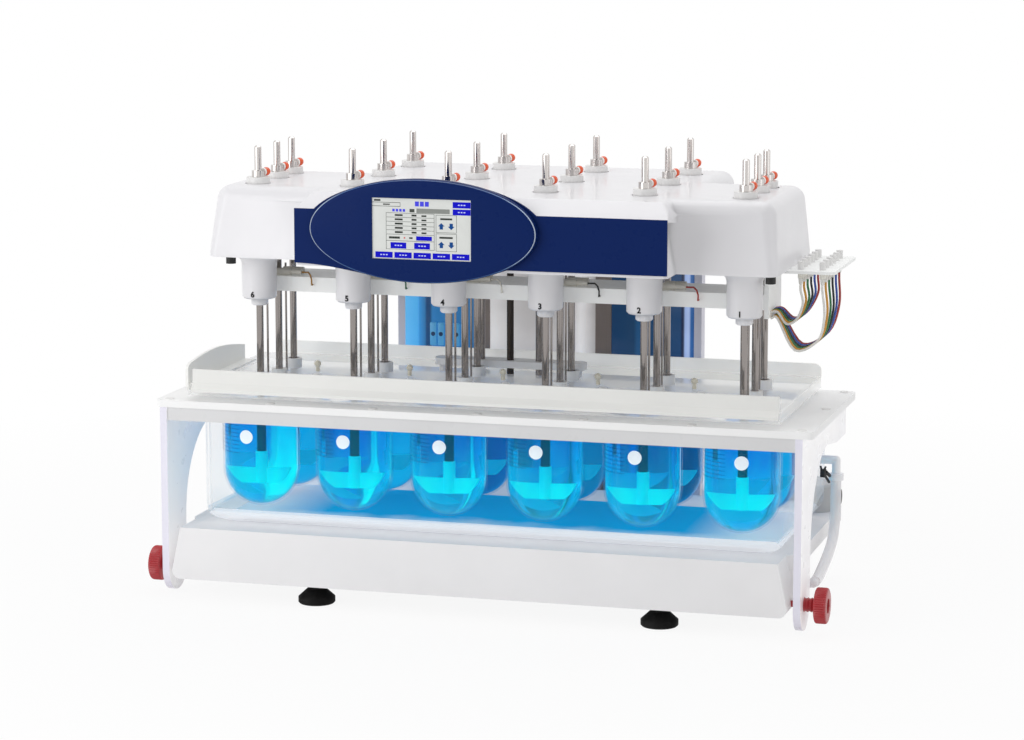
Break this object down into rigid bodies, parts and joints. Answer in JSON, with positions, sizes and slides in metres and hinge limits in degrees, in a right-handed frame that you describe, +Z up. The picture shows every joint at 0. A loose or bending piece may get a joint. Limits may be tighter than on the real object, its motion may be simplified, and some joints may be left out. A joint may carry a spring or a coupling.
{
  "type": "dissolution tester",
  "caption": "Bench dissolution tester: a drive head with stirring spindles, sample probes and a clear cover rises on guide rods over glass vessels set in a clear water bath.",
  "frame": {"origin": "centre of the footprint on the bench, with the head lowered", "axes": "+X to the right as the user faces the console, +Y to the rear, +Z up"},
  "size_m": [0.972, 0.492, 0.633],
  "materials": {
    "white_plastic": "soft white moulded plastic",
    "steel_sheet": "zinc plated sheet",
    "black_rubber": "matt black rubber",
    "clear_acrylic": "clear acrylic",
    "frosted_acrylic": "frosted acrylic",
    "vessel_glass": "clear borosilicate glass",
    "satin_aluminium": "satin anodised",
    "light_aluminium": "pale anodised",
    "trim_steel": "brushed stainless strip",
    "blue_plastic": "translucent blue plastic",
    "black_metal": "black enamel",
    "grey_plastic": "light grey plastic",
    "clear_hose": "clear flexible hose",
    "navy_plastic": "navy blue plastic",
    "screen_glass": "touch screen face",
    "steel": "ground stainless steel",
    "dark_steel": "dark oiled steel",
    "pale_plastic": "natural plastic",
    "lead_jacket": "lead insulation",
    "tube_plastic": "thin sample tube",
    "red_plastic": "deep red plastic",
    "black_plastic": "black plastic"
  },
  "bodies": {
    "base": {"base_case": "white_plastic", "base_floor": "steel_sheet", "levelling_feet": "black_rubber", "bath_tub": "clear_acrylic", "side_panel_left": "frosted_acrylic", "side_panel_right": "frosted_acrylic", "vessel_plate": "white_plastic", "fascia_strip": "white_plastic", "plate_screws": "white_plastic", "vessels": "vessel_glass", "lift_column": "satin_aluminium", "column_trim": "trim_steel", "rear_cabinets": "blue_plastic", "lift_motor": "black_metal", "circulator": "grey_plastic", "hose_fittings": "white_plastic", "bath_hose": "clear_hose"},
    "head": {"head_cover": "white_plastic", "head_floor": "satin_aluminium", "front_apron": "navy_plastic", "console": "navy_plastic", "touch_screen": "screen_glass", "spindle_hubs": "white_plastic", "spindle_bearings": "steel", "drive_motor": "black_metal", "drive_belt": "black_rubber", "probe_beam": "light_aluminium", "sample_probes": "steel", "beam_rods": "steel", "guide_rods": "steel", "lift_tube": "steel", "lead_connectors": "pale_plastic", "beam_leads": "lead_jacket", "manifold_plate": "light_aluminium", "luer_fittings": "pale_plastic", "sample_tubes": "tube_plastic"},
    "tray": {"cover_tray": "clear_acrylic", "tray_rails": "white_plastic", "tray_side_guard": "white_plastic", "tray_fittings": "white_plastic", "tray_bracket": "white_plastic"},
    "lift_screw": {"lift_screw": "dark_steel"},
    "cover_screw": {"cover_screw": "dark_steel"},
    "motor_pulley": {"motor_pulley": "dark_steel"},
    "lock_knob_left": {"lock_knob_left": "red_plastic"},
    "lock_knob_right": {"lock_knob_right": "red_plastic"},
    "thumb_knob_left": {"thumb_knob_left": "black_plastic"},
    "thumb_knob_right": {"thumb_knob_right": "black_plastic"},
    "front_spindle_1": {"front_spindle_1": "steel"},
    "front_spindle_2": {"front_spindle_2": "steel"},
    "front_spindle_3": {"front_spindle_3": "steel"},
    "front_spindle_4": {"front_spindle_4": "steel"},
    "front_spindle_5": {"front_spindle_5": "steel"},
    "front_spindle_6": {"front_spindle_6": "steel"},
    "rear_spindle_1": {"rear_spindle_1": "steel"},
    "rear_spindle_2": {"rear_spindle_2": "steel"},
    "rear_spindle_3": {"rear_spindle_3": "steel"},
    "rear_spindle_4": {"rear_spindle_4": "steel"},
    "rear_spindle_5": {"rear_spindle_5": "steel"},
    "rear_spindle_6": {"rear_spindle_6": "steel"}
  },
  "joints": [
    {"name": "head_lift", "type": "slide", "parent": "base", "child": "head", "axis": [0, 0, 1], "range_m": [0, 0.2]},
    {"name": "lift_screw_turn", "type": "hinge", "parent": "base", "child": "lift_screw", "pos_m": [0, 0.187, 0.3], "axis": [0, 0, 1], "range_deg": [-5, 3605]},
    {"name": "cover_lift", "type": "slide", "parent": "head", "child": "tray", "axis": [0, 0, 1], "range_m": [0, 0.055]},
    {"name": "cover_screw_turn", "type": "hinge", "parent": "head", "child": "cover_screw", "pos_m": [-0.029, 0.051, 0.4], "axis": [0, 0, 1], "range_deg": [-5, 995]},
    {"name": "front_spindle_1_turn", "type": "hinge", "parent": "head", "child": "front_spindle_1", "pos_m": [0.35, -0.119, 0.4], "axis": [0, 0, 1], "continuous": true},
    {"name": "front_spindle_2_turn", "type": "hinge", "parent": "head", "child": "front_spindle_2", "pos_m": [0.21, -0.119, 0.4], "axis": [0, 0, 1], "continuous": true},
    {"name": "front_spindle_3_turn", "type": "hinge", "parent": "head", "child": "front_spindle_3", "pos_m": [0.07, -0.119, 0.4], "axis": [0, 0, 1], "continuous": true},
    {"name": "front_spindle_4_turn", "type": "hinge", "parent": "head", "child": "front_spindle_4", "pos_m": [-0.07, -0.119, 0.4], "axis": [0, 0, 1], "continuous": true},
    {"name": "front_spindle_5_turn", "type": "hinge", "parent": "head", "child": "front_spindle_5", "pos_m": [-0.21, -0.119, 0.4], "axis": [0, 0, 1], "continuous": true},
    {"name": "front_spindle_6_turn", "type": "hinge", "parent": "head", "child": "front_spindle_6", "pos_m": [-0.35, -0.119, 0.4], "axis": [0, 0, 1], "continuous": true},
    {"name": "rear_spindle_1_turn", "type": "hinge", "parent": "head", "child": "rear_spindle_1", "pos_m": [0.35, 0.021, 0.4], "axis": [0, 0, 1], "continuous": true},
    {"name": "rear_spindle_2_turn", "type": "hinge", "parent": "head", "child": "rear_spindle_2", "pos_m": [0.21, 0.021, 0.4], "axis": [0, 0, 1], "continuous": true},
    {"name": "rear_spindle_3_turn", "type": "hinge", "parent": "head", "child": "rear_spindle_3", "pos_m": [0.07, 0.021, 0.4], "axis": [0, 0, 1], "continuous": true},
    {"name": "rear_spindle_4_turn", "type": "hinge", "parent": "head", "child": "rear_spindle_4", "pos_m": [-0.07, 0.021, 0.4], "axis": [0, 0, 1], "continuous": true},
    {"name": "rear_spindle_5_turn", "type": "hinge", "parent": "head", "child": "rear_spindle_5", "pos_m": [-0.21, 0.021, 0.4], "axis": [0, 0, 1], "continuous": true},
    {"name": "rear_spindle_6_turn", "type": "hinge", "parent": "head", "child": "rear_spindle_6", "pos_m": [-0.35, 0.021, 0.4], "axis": [0, 0, 1], "continuous": true},
    {"name": "motor_pulley_turn", "type": "hinge", "parent": "head", "child": "motor_pulley", "pos_m": [0, 0.021, 0.545], "axis": [0, 0, 1], "continuous": true},
    {"name": "lock_knob_left_turn", "type": "hinge", "parent": "base", "child": "lock_knob_left", "pos_m": [-0.47, -0.199, 0.042], "axis": [1, 0, 0], "continuous": true},
    {"name": "thumb_knob_left_turn", "type": "hinge", "parent": "head", "child": "thumb_knob_left", "pos_m": [-0.388, -0.131, 0.475], "axis": [0, 0, 1], "continuous": true},
    {"name": "lock_knob_right_turn", "type": "hinge", "parent": "base", "child": "lock_knob_right", "pos_m": [0.47, -0.199, 0.042], "axis": [1, 0, 0], "continuous": true},
    {"name": "thumb_knob_right_turn", "type": "hinge", "parent": "head", "child": "thumb_knob_right", "pos_m": [0.388, -0.131, 0.475], "axis": [0, 0, 1], "continuous": true}
  ],
  "couplings": [
    {"joint": "lift_screw_turn", "follows": "head_lift", "rad_per_m": 314.16},
    {"joint": "cover_screw_turn", "follows": "cover_lift", "rad_per_m": 314.16},
    {"joint": "front_spindle_2_turn", "follows": "front_spindle_1_turn", "ratio": 1},
    {"joint": "front_spindle_3_turn", "follows": "front_spindle_1_turn", "ratio": 1},
    {"joint": "front_spindle_4_turn", "follows": "front_spindle_1_turn", "ratio": 1},
    {"joint": "front_spindle_5_turn", "follows": "front_spindle_1_turn", "ratio": 1},
    {"joint": "front_spindle_6_turn", "follows": "front_spindle_1_turn", "ratio": 1},
    {"joint": "rear_spindle_1_turn", "follows": "front_spindle_1_turn", "ratio": 1},
    {"joint": "rear_spindle_2_turn", "follows": "front_spindle_1_turn", "ratio": 1},
    {"joint": "rear_spindle_3_turn", "follows": "front_spindle_1_turn", "ratio": 1},
    {"joint": "rear_spindle_4_turn", "follows": "front_spindle_1_turn", "ratio": 1},
    {"joint": "rear_spindle_5_turn", "follows": "front_spindle_1_turn", "ratio": 1},
    {"joint": "rear_spindle_6_turn", "follows": "front_spindle_1_turn", "ratio": 1},
    {"joint": "motor_pulley_turn", "follows": "front_spindle_1_turn", "ratio": 1}
  ]
}
